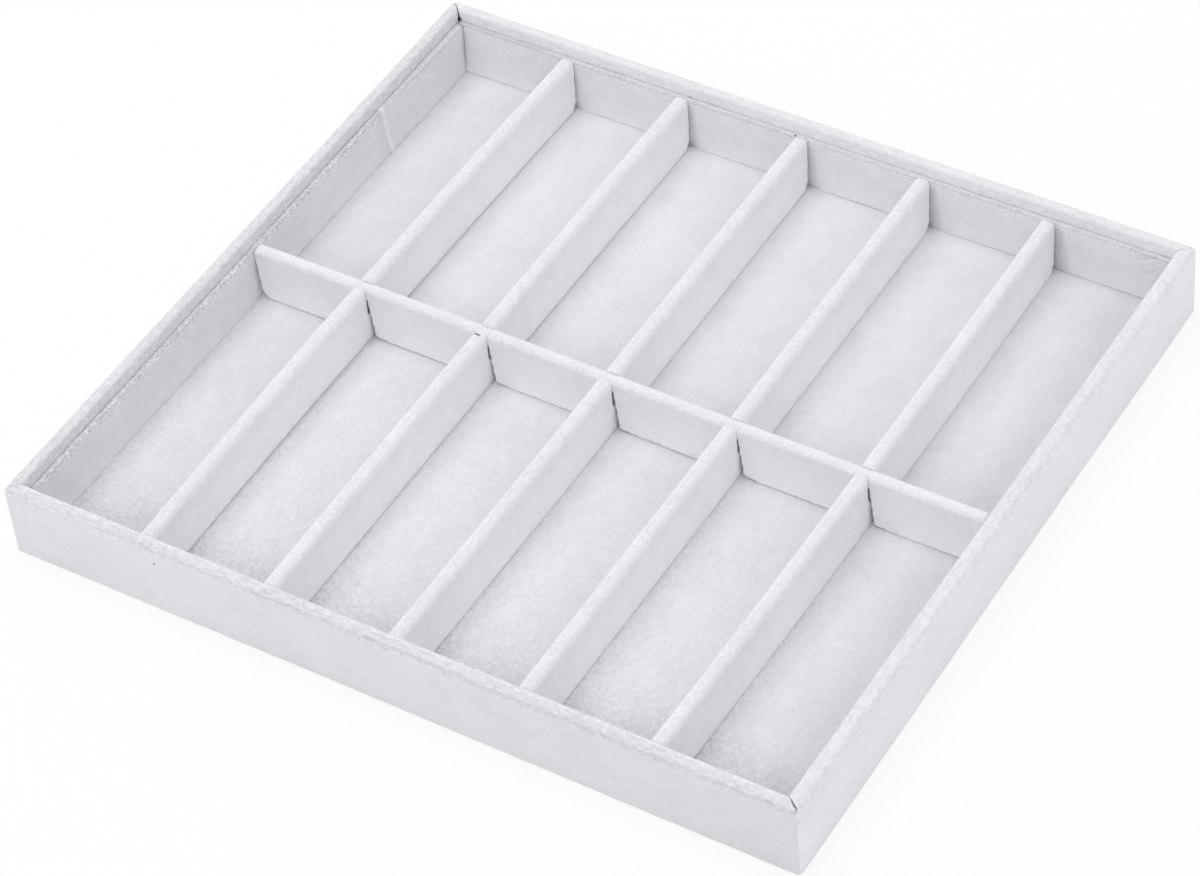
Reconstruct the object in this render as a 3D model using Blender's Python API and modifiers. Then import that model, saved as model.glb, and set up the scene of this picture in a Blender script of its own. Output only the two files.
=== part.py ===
"""Open sunglasses tray: a velvet-covered board frame with a lift-out grid of dividers.

Metres, +Z up. The origin is the middle of the footprint, on the surface that the tray stands on.
+X runs along the front from left to right, and +Y runs from the front to the rear.
"""

import math

import bmesh
import bpy
from mathutils import Matrix

# Overall size
TRAY_WIDTH = 0.385
TRAY_DEPTH = 0.360
TRAY_HEIGHT = 0.038
CORNER_RADIUS = 0.0024  # upright outer corners, seen from above

# Compartments from left to right, in each of the two rows
COLUMNS = 6

# Sheet goods
VELVET = 0.0009  # pile and backing together
GLUE_LINE = 0.0003  # between a velvet or board and what it lies against
WALL_BOARD = 0.0045
BASE_BOARD = 0.0025
LINER_CARD = 0.0006
DIVIDER_BOARD = 0.0046

# Wall boards
RIM_OUTER_ROUND = 0.0018
RIM_INNER_ROUND = 0.0003
FOOT_ROUND = 0.0006  # lower outer edge
REBATE_DEPTH = 0.0020  # step in the foot that the base board sits in
MITRE_GAP = 0.0003  # between two walls, square to the mitre

# Wall velvets and liners
RIM_TURNOVER = 0.0140  # from the rim's top down to the velvet's inner end
LINER_DROP = 0.0055  # from the rim's top down to the liners' top
LINER_CARD_ROUND = 0.0002  # upper inner edge of the card

# Divider grid
CROSS_DROP = 0.0046  # from the rim's top down to the cross dividers' top
LONG_DROP = 0.0053  # from the rim's top down to the long divider's top
RIDGE_ROUND = 0.0015  # upper long edges of a divider board
END_CLEARANCE = 0.0008  # between a divider's end and the liner
SLOT_CLEARANCE = 0.0003  # on each side of a divider, in the slot of the one that it crosses
END_ROUND = 0.0004  # upper corners of a divider board
SLOT_MOUTH_ROUND = 0.0005  # upper corners of a cross divider board, at its slot

# Drafting values
ARC_STEPS = 6
CUT_OVERRUN = 0.0020
TRIM_CLEARANCE = 0.00005  # by which a rounding tool stands proud of the faces that it only touches
WELD_DISTANCE = 0.00001
SMOOTH_BELOW_DEGREES = 35

# Heights, worked out from the stack of sheets
SKIN = VELVET + GLUE_LINE
BASE_BOTTOM = SKIN
BASE_TOP = BASE_BOTTOM + BASE_BOARD
WALL_FOOT = BASE_BOTTOM
WALL_TOP = TRAY_HEIGHT - SKIN
FLOOR_BOTTOM = BASE_TOP + GLUE_LINE
FLOOR_TOP = FLOOR_BOTTOM + VELVET
LINER_FOOT = FLOOR_TOP + GLUE_LINE
LINER_TOP = TRAY_HEIGHT - LINER_DROP
DIVIDER_FOOT = FLOOR_TOP + GLUE_LINE
CROSS_TOP = TRAY_HEIGHT - CROSS_DROP
LONG_TOP = TRAY_HEIGHT - LONG_DROP
CROSSING = (DIVIDER_FOOT + LONG_TOP) / 2

# Distances inwards from the tray's outer faces
BOARD_OUTER = SKIN
BOARD_INNER = BOARD_OUTER + WALL_BOARD
REBATE_SHOULDER = BOARD_INNER - REBATE_DEPTH
WALL_INNER = BOARD_INNER + SKIN
CARD_OUTER = WALL_INNER + GLUE_LINE
CARD_INNER = CARD_OUTER + LINER_CARD
LINER_FACE = CARD_INNER + SKIN

# The grid's plan
DIVIDER_THICKNESS = DIVIDER_BOARD + 2 * SKIN
CLEAR_WIDTH = TRAY_WIDTH - 2 * LINER_FACE
CLEAR_DEPTH = TRAY_DEPTH - 2 * LINER_FACE
PITCH = (CLEAR_WIDTH + DIVIDER_THICKNESS) / COLUMNS
CROSS_PLACES = [(column - COLUMNS / 2) * PITCH for column in range(1, COLUMNS)]
SLOT_HALF_WIDTH = DIVIDER_THICKNESS / 2 + SLOT_CLEARANCE

# Each side of the tray: its turn about +Z, its length and how far its outer face lies from the middle
SIDES = {
    "front": (0, TRAY_WIDTH, TRAY_DEPTH / 2),
    "right": (90, TRAY_DEPTH, TRAY_WIDTH / 2),
    "rear": (180, TRAY_WIDTH, TRAY_DEPTH / 2),
    "left": (270, TRAY_DEPTH, TRAY_WIDTH / 2),
}

# Local X, Y and Z turned to point along +Y, +Z and +X: a section drawn flat, carried along the front
SECTION_ALONG_X = Matrix(((0, 0, 1, 0), (1, 0, 0, 0), (0, 1, 0, 0), (0, 0, 0, 1)))
# Local X, Y and Z turned to point along +X, +Z and -Y: an elevation drawn flat, seen from the front
ELEVATION_FROM_FRONT = Matrix.Rotation(math.radians(90), 4, "X")


def clear_scene():
    for obj in list(bpy.data.objects):
        bpy.data.objects.remove(obj)


def new_collection(name):
    collection = bpy.data.collections.new(name)
    bpy.context.scene.collection.children.link(collection)
    return collection


def new_material(name, colour, roughness):
    material = bpy.data.materials.new(name)
    material.use_nodes = True
    shader = material.node_tree.nodes["Principled BSDF"]
    shader.inputs["Base Color"].default_value = (*colour, 1)
    shader.inputs["Roughness"].default_value = roughness
    shader.inputs["Metallic"].default_value = 0
    return material


def arc(centre, radius, start, end):
    """Points on an arc from start to end, in degrees, with both ends."""
    points = []
    for step in range(ARC_STEPS + 1):
        angle = math.radians(start + (end - start) * step / ARC_STEPS)
        points.append((centre[0] + radius * math.cos(angle), centre[1] + radius * math.sin(angle)))
    return points


def mirrored(points):
    """The points on the other side of local Y, in the order that carries an outline on."""
    return [(-x, y) for x, y in reversed(points)]


def corner_plan():
    """The tray's plan with its round upright corners, just clear of the flat outer faces."""
    centre = (TRAY_WIDTH / 2 - CORNER_RADIUS, TRAY_DEPTH / 2 - CORNER_RADIUS)
    corner = arc(centre, CORNER_RADIUS + TRIM_CLEARANCE, 0, 90)
    upper = corner + mirrored(corner)
    return upper + [(-x, -y) for x, y in upper]


def weld(mesh):
    """Joins the loose caps of an extruded outline to its sides, with every face pointing out."""
    shape = bmesh.new()
    shape.from_mesh(mesh)
    bmesh.ops.remove_doubles(shape, verts=shape.verts, dist=WELD_DISTANCE)
    bmesh.ops.recalc_face_normals(shape, faces=shape.faces)
    shape.to_mesh(mesh)
    shape.free()


def extruded_outline(name, outline, length):
    """A solid with this outline in local X and Y, reaching half the length each way along local Z."""
    curve = bpy.data.curves.new(name, "CURVE")
    curve.dimensions = "2D"
    curve.fill_mode = "BOTH"
    curve.extrude = length / 2
    spline = curve.splines.new("POLY")
    spline.points.add(len(outline) - 1)
    for point, (x, y) in zip(spline.points, outline):
        point.co = (x, y, 0, 1)
    spline.use_cyclic_u = True
    draft = bpy.data.objects.new(name + "_outline", curve)
    bpy.context.scene.collection.objects.link(draft)
    graph = bpy.context.evaluated_depsgraph_get()
    mesh = bpy.data.meshes.new_from_object(draft.evaluated_get(graph))
    bpy.data.objects.remove(draft)
    bpy.data.curves.remove(curve)
    weld(mesh)
    mesh.name = name
    return bpy.data.objects.new(name, mesh)


def folded_sheet(name, path, length):
    """A velvet folded along this path in local X and Y: a strip along local Z, thickened away from the board."""
    shape = bmesh.new()
    start = [shape.verts.new((x, y, -length / 2)) for x, y in path]
    edges = [shape.edges.new(pair) for pair in zip(start, start[1:])]
    carried = bmesh.ops.extrude_edge_only(shape, edges=edges)["geom"]
    verts = [item for item in carried if isinstance(item, bmesh.types.BMVert)]
    bmesh.ops.translate(shape, vec=(0, 0, length), verts=verts)
    mesh = bpy.data.meshes.new(name)
    shape.to_mesh(mesh)
    shape.free()
    sheet = bpy.data.objects.new(name, mesh)
    thickness = sheet.modifiers.new("velvet thickness", "SOLIDIFY")
    thickness.thickness = VELVET
    thickness.offset = 1
    thickness.use_even_offset = True
    return sheet


def block(name, low, high):
    """A rectangular board between two corners."""
    bpy.ops.mesh.primitive_cube_add(size=1)
    board = bpy.context.object
    board.name = name
    board.data.name = name
    board.data.transform(Matrix.Diagonal([top - bottom for bottom, top in zip(low, high)]).to_4x4())
    board.location = [(bottom + top) / 2 for bottom, top in zip(low, high)]
    board.users_collection[0].objects.unlink(board)
    return board


def boolean(obj, operation, tool, solver="EXACT"):
    """A live Boolean with the tool, which is kept out of the model."""
    if tool.name not in cutters.objects:
        cutters.objects.link(tool)
        tool.hide_render = True
        tool.display_type = "WIRE"
    modifier = obj.modifiers.new(operation.lower() + " " + tool.name, "BOOLEAN")
    modifier.operation = operation
    modifier.solver = solver
    modifier.object = tool


def place(obj, parent, matrix):
    obj.parent = parent
    obj.matrix_basis = matrix


def finish(obj, material):
    """Gives a sub-part its material and shading, and takes it into the model."""
    obj.data.materials.clear()
    obj.data.materials.append(material)
    obj.data.shade_smooth()
    obj.data.set_sharp_from_angle(angle=math.radians(SMOOTH_BELOW_DEGREES))
    parts.objects.link(obj)


def new_pivot(name, turn, location=(0, 0, 0)):
    """An empty that sub-parts are placed from."""
    pivot = bpy.data.objects.new(name, None)
    pivot.rotation_euler = (0, 0, math.radians(turn))
    pivot.location = location
    parts.objects.link(pivot)
    return pivot


def wall_board_section():
    """The board's section, inwards and up: round at the rim and foot, with the base board's rebate."""
    foot = arc((BOARD_OUTER + FOOT_ROUND, WALL_FOOT + FOOT_ROUND), FOOT_ROUND, 270, 180)
    outer = arc((BOARD_OUTER + RIM_OUTER_ROUND, WALL_TOP - RIM_OUTER_ROUND), RIM_OUTER_ROUND, 180, 90)
    inner = arc((BOARD_INNER - RIM_INNER_ROUND, WALL_TOP - RIM_INNER_ROUND), RIM_INNER_ROUND, 90, 0)
    rebate = [(BOARD_INNER, FLOOR_BOTTOM), (REBATE_SHOULDER, FLOOR_BOTTOM), (REBATE_SHOULDER, WALL_FOOT)]
    return foot + outer + inner + rebate


def wall_velvet_path():
    """The glued face of a wall velvet: under the foot, up the outside, over the rim and down inside."""
    foot_centre = (BOARD_OUTER + FOOT_ROUND, WALL_FOOT + FOOT_ROUND)
    outer_centre = (BOARD_OUTER + RIM_OUTER_ROUND, WALL_TOP - RIM_OUTER_ROUND)
    inner_centre = (BOARD_INNER - RIM_INNER_ROUND, WALL_TOP - RIM_INNER_ROUND)
    turn_in = [(REBATE_SHOULDER, WALL_FOOT - GLUE_LINE)]
    foot = arc(foot_centre, FOOT_ROUND + GLUE_LINE, 270, 180)
    outer = arc(outer_centre, RIM_OUTER_ROUND + GLUE_LINE, 180, 90)
    inner = arc(inner_centre, RIM_INNER_ROUND + GLUE_LINE, 90, 0)
    return turn_in + foot + outer + inner + [(BOARD_INNER + GLUE_LINE, TRAY_HEIGHT - RIM_TURNOVER)]


def liner_velvet_path():
    """The glued face of a liner velvet: over the card's top edge and down its inner face."""
    centre = (CARD_INNER - LINER_CARD_ROUND, LINER_TOP - SKIN - LINER_CARD_ROUND)
    edge = arc(centre, LINER_CARD_ROUND + GLUE_LINE, 90, 0)
    return [(CARD_OUTER, LINER_TOP - VELVET)] + edge + [(CARD_INNER + GLUE_LINE, LINER_FOOT)]


def mitre_wedge(side, length):
    """The plan of one wall between its two mitres, half a gap short of each."""
    short = MITRE_GAP / math.sqrt(2)
    outer = length / 2 + CUT_OVERRUN - short
    inner = length / 2 - WALL_INNER - CUT_OVERRUN - short
    plan = [(-outer, -CUT_OVERRUN), (outer, -CUT_OVERRUN), (inner, WALL_INNER + CUT_OVERRUN)]
    plan.append((-inner, WALL_INNER + CUT_OVERRUN))
    return extruded_outline(side + "_mitre_wedge", plan, TRAY_HEIGHT + 2 * CUT_OVERRUN)


def build_walls():
    """On each side, a mitred board with its velvet, and inside them a liner card with its velvet."""
    envelope = extruded_outline("corner_envelope", corner_plan(), TRAY_HEIGHT + 2 * CUT_OVERRUN)
    envelope.location.z = TRAY_HEIGHT / 2
    for side, (turn, length, reach) in SIDES.items():
        pivot = new_pivot(side + "_side", turn)
        outer_face = Matrix.Translation((0, -reach, 0))
        wedge = mitre_wedge(side, length)
        place(wedge, pivot, outer_face @ Matrix.Translation((0, 0, TRAY_HEIGHT / 2)))

        board = extruded_outline(side + "_wall_board", wall_board_section(), length)
        place(board, pivot, outer_face @ SECTION_ALONG_X)
        boolean(board, "INTERSECT", wedge)
        finish(board, fibreboard)

        velvet = folded_sheet(side + "_wall_velvet", wall_velvet_path(), length)
        place(velvet, pivot, outer_face @ SECTION_ALONG_X)
        boolean(velvet, "INTERSECT", wedge)
        boolean(velvet, "INTERSECT", envelope)
        finish(velvet, pale_velvet)

        # The front and rear liners reach the side walls, and the side liners fit between them
        inset = CARD_OUTER if side in ("front", "rear") else LINER_FACE + GLUE_LINE
        half = length / 2 - inset
        low = (-half, CARD_OUTER - reach, LINER_FOOT)
        high = (half, CARD_INNER - reach, LINER_TOP - SKIN)
        card = block(side + "_liner_card", low, high)
        place(card, pivot, Matrix.Translation(card.location))
        finish(card, grey_card)

        lining = folded_sheet(side + "_liner_velvet", liner_velvet_path(), 2 * half)
        place(lining, pivot, outer_face @ SECTION_ALONG_X)
        finish(lining, pale_velvet)


def build_floor():
    """The base board in the walls' rebates, with the floor velvet on it and the cover under it."""
    sheets = (
        ("base_board", REBATE_SHOULDER + GLUE_LINE, BASE_BOTTOM, BASE_TOP, fibreboard),
        ("floor_velvet", BOARD_INNER + GLUE_LINE, FLOOR_BOTTOM, FLOOR_TOP, pale_velvet),
        ("underside_cover", REBATE_SHOULDER + GLUE_LINE, 0, VELVET, pale_velvet),
    )
    for name, inset, bottom, top, material in sheets:
        half_width = TRAY_WIDTH / 2 - inset
        half_depth = TRAY_DEPTH / 2 - inset
        sheet = block(name, (-half_width, -half_depth, bottom), (half_width, half_depth, top))
        finish(sheet, material)


def divider_section(top, grow, foot):
    """Across a divider: straight sides and a rounded top, grown from the board's own section."""
    half = DIVIDER_BOARD / 2 + grow
    centre = (DIVIDER_BOARD / 2 - RIDGE_ROUND, top - SKIN - RIDGE_ROUND)
    ridge = arc(centre, RIDGE_ROUND + grow, 0, 90)
    return [(half, foot)] + ridge + mirrored(ridge) + [(-half, foot)]


def cross_elevation(grow, foot):
    """A cross divider seen from the side: eased upper ends, and a slot from above for the long divider."""
    half = CLEAR_DEPTH / 2 - END_CLEARANCE - SKIN + grow
    top = CROSS_TOP - SKIN + grow + TRIM_CLEARANCE
    end_round = END_ROUND + grow
    mouth_round = SLOT_MOUTH_ROUND + grow
    slot = SLOT_HALF_WIDTH + SKIN - grow
    end = arc((half - end_round, top - end_round), end_round, 0, 90)
    mouth = arc((slot + mouth_round, top - mouth_round), mouth_round, 90, 180)
    right = [(half, foot)] + end + mouth + [(slot, CROSSING - SKIN + grow)]
    return right + mirrored(right)


def long_elevation(grow, foot):
    """The long divider seen from the front: eased upper ends, and a slot from below at each crossing."""
    half = CLEAR_WIDTH / 2 - END_CLEARANCE - SKIN + grow
    top = LONG_TOP - SKIN + grow + TRIM_CLEARANCE
    end_round = END_ROUND + grow
    right_end = [(half, foot)] + arc((half - end_round, top - end_round), end_round, 0, 90)
    slot = SLOT_HALF_WIDTH + SKIN - grow
    slot_top = CROSSING + GLUE_LINE + SKIN - grow
    outline = right_end + mirrored(right_end)
    for place_x in CROSS_PLACES:
        outline += [(place_x - slot, foot), (place_x - slot, slot_top)]
        outline += [(place_x + slot, slot_top), (place_x + slot, foot)]
    return outline


def divider_form(name, length, top, elevation, grow, foot):
    """A divider's section carried along its length and trimmed by its elevation."""
    form = extruded_outline(name, divider_section(top, grow, foot), length)
    trim_width = DIVIDER_THICKNESS + 2 * CUT_OVERRUN
    trim = extruded_outline(name + "_elevation", elevation(grow, foot - CUT_OVERRUN), trim_width)
    return form, trim


def build_divider(label, number, length, top, elevation, pivot):
    """A slotted board, and a velvet that covers its top, sides, ends and slots and is open below."""
    size = (length, top, elevation)
    board, board_trim = divider_form(label + "_board" + number, *size, 0, DIVIDER_FOOT)
    velvet, velvet_trim = divider_form(label + "_velvet" + number, *size, SKIN, DIVIDER_FOOT)
    below = DIVIDER_FOOT - CUT_OVERRUN
    hollow, hollow_trim = divider_form(label + "_hollow" + number, *size, GLUE_LINE, below)
    for form in (board, velvet, hollow):
        place(form, pivot, SECTION_ALONG_X)
    for trim in (board_trim, velvet_trim, hollow_trim):
        place(trim, pivot, ELEVATION_FROM_FRONT)
    # The long divider's many slots leave open edges with the exact solver
    boolean(board, "INTERSECT", board_trim, "MANIFOLD")
    boolean(velvet, "INTERSECT", velvet_trim, "MANIFOLD")
    boolean(hollow, "INTERSECT", hollow_trim, "MANIFOLD")
    boolean(velvet, "DIFFERENCE", hollow, "MANIFOLD")
    finish(board, grey_card)
    finish(velvet, pale_velvet)


def build_grid():
    """One long divider over five cross dividers, which all lift straight out together."""
    lift = new_pivot("grid_lift", 0)
    along = new_pivot("long_divider_place", 0)
    along.parent = lift
    build_divider("long_divider", "", CLEAR_WIDTH, LONG_TOP, long_elevation, along)
    for number, place_x in enumerate(CROSS_PLACES, start=1):
        across = new_pivot("cross_divider_place_" + str(number), 90, (place_x, 0, 0))
        across.parent = lift
        build_divider("cross_divider", "_" + str(number), CLEAR_DEPTH, CROSS_TOP, cross_elevation, across)


clear_scene()
parts = new_collection("sunglasses_tray")
cutters = new_collection("sunglasses_tray_cutters")
cutters.hide_render = True
pale_velvet = new_material("pale_velvet", (0.76, 0.77, 0.79), 0.95)
fibreboard = new_material("fibreboard", (0.52, 0.40, 0.28), 0.80)
grey_card = new_material("grey_card", (0.45, 0.44, 0.42), 0.85)
build_floor()
build_walls()
build_grid()
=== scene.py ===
"""Looks of the open sunglasses tray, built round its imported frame.

Metres, +Z up, in the frame's own axes. Each velvet of the tray is a pile surface of its own here. The
walls, liners, floor and underside are sheets worked out along their folded sections, and the dividers
are soft sleeves with a hollow for their boards.
"""

import dataclasses
import itertools
import math

import bmesh
import bpy
import numpy as np
from mathutils import Matrix, Vector


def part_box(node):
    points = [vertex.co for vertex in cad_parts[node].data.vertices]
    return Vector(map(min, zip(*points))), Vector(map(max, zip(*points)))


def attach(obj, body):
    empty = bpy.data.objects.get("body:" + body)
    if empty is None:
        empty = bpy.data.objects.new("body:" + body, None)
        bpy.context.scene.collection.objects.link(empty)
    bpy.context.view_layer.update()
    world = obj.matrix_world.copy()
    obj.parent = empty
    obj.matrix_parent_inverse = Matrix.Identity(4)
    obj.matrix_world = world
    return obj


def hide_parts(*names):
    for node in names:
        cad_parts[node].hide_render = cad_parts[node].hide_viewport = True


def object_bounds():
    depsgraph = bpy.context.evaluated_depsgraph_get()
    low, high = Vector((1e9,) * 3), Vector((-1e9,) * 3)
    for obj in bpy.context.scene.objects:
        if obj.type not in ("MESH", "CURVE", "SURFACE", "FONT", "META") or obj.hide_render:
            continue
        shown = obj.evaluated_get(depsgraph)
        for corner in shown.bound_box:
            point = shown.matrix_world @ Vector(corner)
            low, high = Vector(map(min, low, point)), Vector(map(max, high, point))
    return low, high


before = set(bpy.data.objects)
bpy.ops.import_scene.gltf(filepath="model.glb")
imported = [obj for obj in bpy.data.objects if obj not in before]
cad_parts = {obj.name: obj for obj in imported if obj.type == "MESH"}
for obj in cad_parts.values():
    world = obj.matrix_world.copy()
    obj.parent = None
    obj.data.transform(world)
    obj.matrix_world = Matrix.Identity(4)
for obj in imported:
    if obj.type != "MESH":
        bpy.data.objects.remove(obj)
cad_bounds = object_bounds()

# Sizes read from the frame
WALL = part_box("front_wall_velvet")
WALL_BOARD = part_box("front_wall_board")
BASE_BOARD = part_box("base_board")
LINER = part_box("front_liner_velvet")
SIDE_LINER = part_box("right_liner_velvet")
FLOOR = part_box("floor_velvet")
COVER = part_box("underside_cover")
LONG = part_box("long_divider_velvet")
CROSS = [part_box(f"cross_divider_velvet_{number}") for number in range(1, 6)]

HALF_WIDTH = cad_bounds[1].x
HALF_DEPTH = cad_bounds[1].y
TOP = cad_bounds[1].z
VELVET = FLOOR[1].z - FLOOR[0].z
SKIN = WALL_BOARD[0].y - WALL[0].y
GLUE_LINE = SKIN - VELVET
WALL_THICKNESS = WALL[1].y - WALL[0].y
BOARD_INNER = WALL_BOARD[1].y - WALL[0].y
TURN_IN = BASE_BOARD[0].y - GLUE_LINE - WALL[0].y
LINER_BACK = LINER[0].y - WALL[0].y
LINER_FACE = LINER[1].y - WALL[0].y
LINER_TOP = LINER[1].z
FLOOR_TOP = FLOOR[1].z
DIVIDER_FOOT = LONG[0].z

# Rounding of the walls and liners
RIM_OUTER_RADIUS = 0.0030
RIM_INNER_RADIUS = 0.0013
RIM_THICKNESS = {"front": 0.0065, "right": 0.0069, "rear": 0.0063, "left": 0.0063}  # at the top
RIM_SLOPE_FOOT = 0.0330  # down to here the inner side slopes out to the wall's full thickness
FOOT_RADIUS = 0.0008
CORNER_RADIUS = 0.0024
INNER_LEG_FOOT = TOP - 0.0140
LINER_EDGE_RADIUS = 0.0009
LINER_FOOT_RADIUS = 0.0006
LINER_FOOT = FLOOR_TOP + 0.00005

# Dividers
SLOT_CLEARANCE = 0.0003
RIDGE_RADIUS = 0.0026
END_ROUND = 0.0016
END_PLAN_ROUND = 0.0012
MOUTH_ROUND = 0.0006
NOSE_REACH = 0.00055  # by which the velvet's nose comes closer to the liner than the frame's
FOOT_RAKE = 0.0011  # by which a divider's end falls back at its foot
FOOT_CUT = (0.0026, 0.0042)  # how far the foot's corner is cut back at each end, and up to what height
MOUTH_CLEARANCE = 0.00004
LAP_ANGLE = 62
SLIT_DROP = 0.0048  # from the long divider's top down to the slits in its velvet, above the board's slots
FOOT_RISE = 0.0009  # by which the long divider's foot lifts beside a slot
FOOT_RISE_REACH = 0.0090
SLOT_SPREAD = 0.0017  # by which the slits stand wider at the foot
SLEEVE_VOXEL = 0.0005
SLEEVE_SMOOTHING = 3
BEND_STEP = 0.0100

# How far each divider bends aside, in mm at places along it in mm
CROSS_BEND_AT = (-140, -80, -32, 32, 80, 140)
CROSS_BENDS = (
    (-0.6, -1.4, -1.75, -1.65, -1.05, -0.2),
    (-0.1, -0.5, -0.6, -0.85, -0.8, -0.6),
    (0.0, 0.4, 0.6, 0.45, 0.3, 0.1),
    (0.0, 0.2, 0.2, 0.25, 0.25, 0.1),
    (0.0, 0.8, 1.2, 1.25, 1.0, 0.5),
)
LONG_BEND_AT = (-155, -95, -30, 30, 95, 155)
LONG_BEND = (-0.7, -0.6, -0.75, -1.2, -1.5, -1.5)

# Pile
FINE_STEP = 0.0005
STEP = 0.0014
LINER_STEP = 0.0010
FLOOR_STEP = 0.0020
COVER_STEP = 0.0040
CORNER_REACH = 0.0100  # length of each wall's end that is worked out row by row
CORNER_STEPS = 22

SIDES = (("front", 0), ("right", 90), ("rear", 180), ("left", 270))

# At the corners from the front left round to the rear left: half of each mitre's slit at its inner and
# outer end, how far its outer end lies aside, and half of how far it gapes above the liners
MITRE_SLITS = (
    (0.00006, 0.00008, 0, 0), (0.00003, 0.00026, 0.0010, 0), (0.00015, 0.00003, 0, 0), (0.00020, 0.00008, 0, 0.0010),
)

# The walls' feet spread at the front right corner, by this much to the right and to the front
SPREAD = (0.0009, 0.0007)

# Painted light and shade: how much lighter (above 0) or darker the pile is coloured for how light falls, on each
# wall's outside, rim and inside, on each liner's foot, middle and edge, on the floor and on the dividers' faces
WALL_PAINTED_LIGHT = {
    "front": (-0.015, -0.085, 0.0), "right": (0.05, -0.015, 0.0), "rear": (0.0, -0.015, 0.01), "left": (0.0, -0.08, -0.13),
}
LINER_PAINTED_LIGHT = {"front": (0, 0, 0), "right": (0, 0, 0), "rear": (0.08, 0.03, -0.15), "left": (0.005, -0.055, -0.18)}
OUTER_BEND_PAINTED_LIGHT = {"front": 0.005, "right": 0.0, "rear": 0.03, "left": 0.03}  # beside the wall's outside
RIM_FRAY = {"front": 1.7, "right": 1.1, "rear": 0.8, "left": 1.8}  # how rough the rims are
LINER_ROUGH = {"front": 0.2, "right": 0.2, "rear": 0.6, "left": 1.1}
LINER_FRAY = {"front": 0.8, "right": 0.8, "rear": 1.0, "left": 3.0}  # how rough the liners' edges are
LINER_STRAYS = {"front": 0.3, "right": 0.3, "rear": 0.2, "left": 0.8}  # how many pale fibres stray from the edge
FLOOR_PAINTED_LIGHT_ALONG = (
    (-0.171, -0.15), (-0.147, -0.12), (-0.142, -0.065), (-0.136, -0.03), (-0.130, 0.0), (-0.024, 0.0), (-0.016, 0.02),
    (-0.010, 0.05), (-0.004, 0.05), (0.004, -0.06), (0.026, -0.06), (0.032, -0.05), (0.038, -0.02), (0.044, 0.0),
    (0.152, 0.01), (0.158, 0.03), (0.164, 0.055), (0.171, 0.06),
)
FLOOR_PAINTED_LIGHT_ACROSS = (
    (0.0, 0.0), (0.004, 0.01), (0.008, 0.03), (0.013, 0.02), (0.018, 0.0), (0.021, -0.01), (0.027, -0.03), (0.033, -0.055),
    (0.040, -0.08), (0.055, -0.10), (0.062, -0.10),
)
CROSS_FACE_PAINTED_LIGHT = ((0.0055, 0.0180, 0.0280, 0.0334), (0.13, 0.11, 0.055, 0.04))  # at heights on the face
LONG_FACE_PAINTED_LIGHT = ((0.0055, 0.0190, 0.0327), (0.19, 0.11, 0.03))

# Painted light and shade over the ridges as well, at distances along the section from the crown: to the side
# that faces the front or the right, and (below 0) to the other side
CROSS_RIDGE_PAINTED_LIGHT = ((-0.0070, -0.0035, -0.0020, -0.0008, 0.0035, 0.0043, 0.0052, 0.0060, 0.0072), (0, 0.08, 0.06, 0, 0, 0.03, 0.06, 0.05, 0))
LONG_RIDGE_PAINTED_LIGHT = ((-0.0070, -0.0035, -0.0004, 0.0011, 0.0034, 0.0047, 0.0056, 0.0066), (0, 0.05, 0.04, 0, -0.03, -0.045, -0.03, 0))
# A painted highlight along the dividers' ends
NOSE_PAINTED_LIGHT = 0.07

# Painted shadow on the rear liner to the right of each cross divider's end: how far to the side at the
# top and at the foot, and how much darker
PAINTED_END_SHADOWS = ((0.0020, 0.0040, 0.08), (0.0025, 0.0055, 0.17), (0.0030, 0.0068, 0.20), (0.0035, 0.0082, 0.24), (0.0045, 0.0100, 0.26))

# The slack fold along each rim: how far it lies past the start of the outer bend, and how marked it is
FOLD = {"front": (0.0016, 1.0), "right": (0.0018, 0.35), "rear": (0.0022, 0.3), "left": (0.0022, 0.3)}


def value_noise(points, size, seed):
    """Smooth random values from -1 to 1 at these points, with features of about this size."""
    table = np.random.default_rng(seed).uniform(-1, 1, 4096)
    cells = np.asarray(points) / size
    base = np.floor(cells).astype(np.int64)
    share = cells - base
    share = share * share * (3 - 2 * share)
    total = np.zeros(cells.shape[:-1])
    for corner in itertools.product((0, 1), repeat=3):
        index = ((base + corner) @ np.array((7919, 104729, 1299709))) % len(table)
        weight = np.prod(np.where(np.array(corner) == 1, share, 1 - share), axis=-1)
        total += table[index] * weight
    return total


def pile_unevenness(points, seed):
    """How far the pile stands above or below its mean height."""
    tufts = 0.000035 * value_noise(points, 0.0016, seed)
    lie = 0.00005 * value_noise(points, 0.0070, seed + 1)
    sag = 0.00008 * value_noise(points, 0.0350, seed + 2)
    return tufts + lie + sag


def bell(distance, width):
    """1 at no distance, falling smoothly to nothing past the width."""
    return np.exp(-((distance / width) ** 2))


def turned(degrees):
    return Matrix.Rotation(math.radians(degrees), 4, "Z")


def new_piece(name, mesh, body, slot, material, *nodes):
    """A piece of the tray that moves with this body, and stands for these nodes of the frame."""
    piece = bpy.data.objects.new(name, mesh)
    bpy.context.scene.collection.objects.link(piece)
    mesh.materials.clear()
    mesh.materials.append(material)
    mesh.shade_smooth()
    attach(piece, body)
    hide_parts(*nodes)
    return piece


def give_looks(mesh, **looks):
    """Stores how the pile looks at each point: painted light and shade, how brushed it is and painted shade in its
    hollows.
    """
    for name, values in looks.items():
        attribute = mesh.attributes.new(name, "FLOAT", "POINT")
        attribute.data.foreach_set("value", np.asarray(values, np.float32).ravel())


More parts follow.
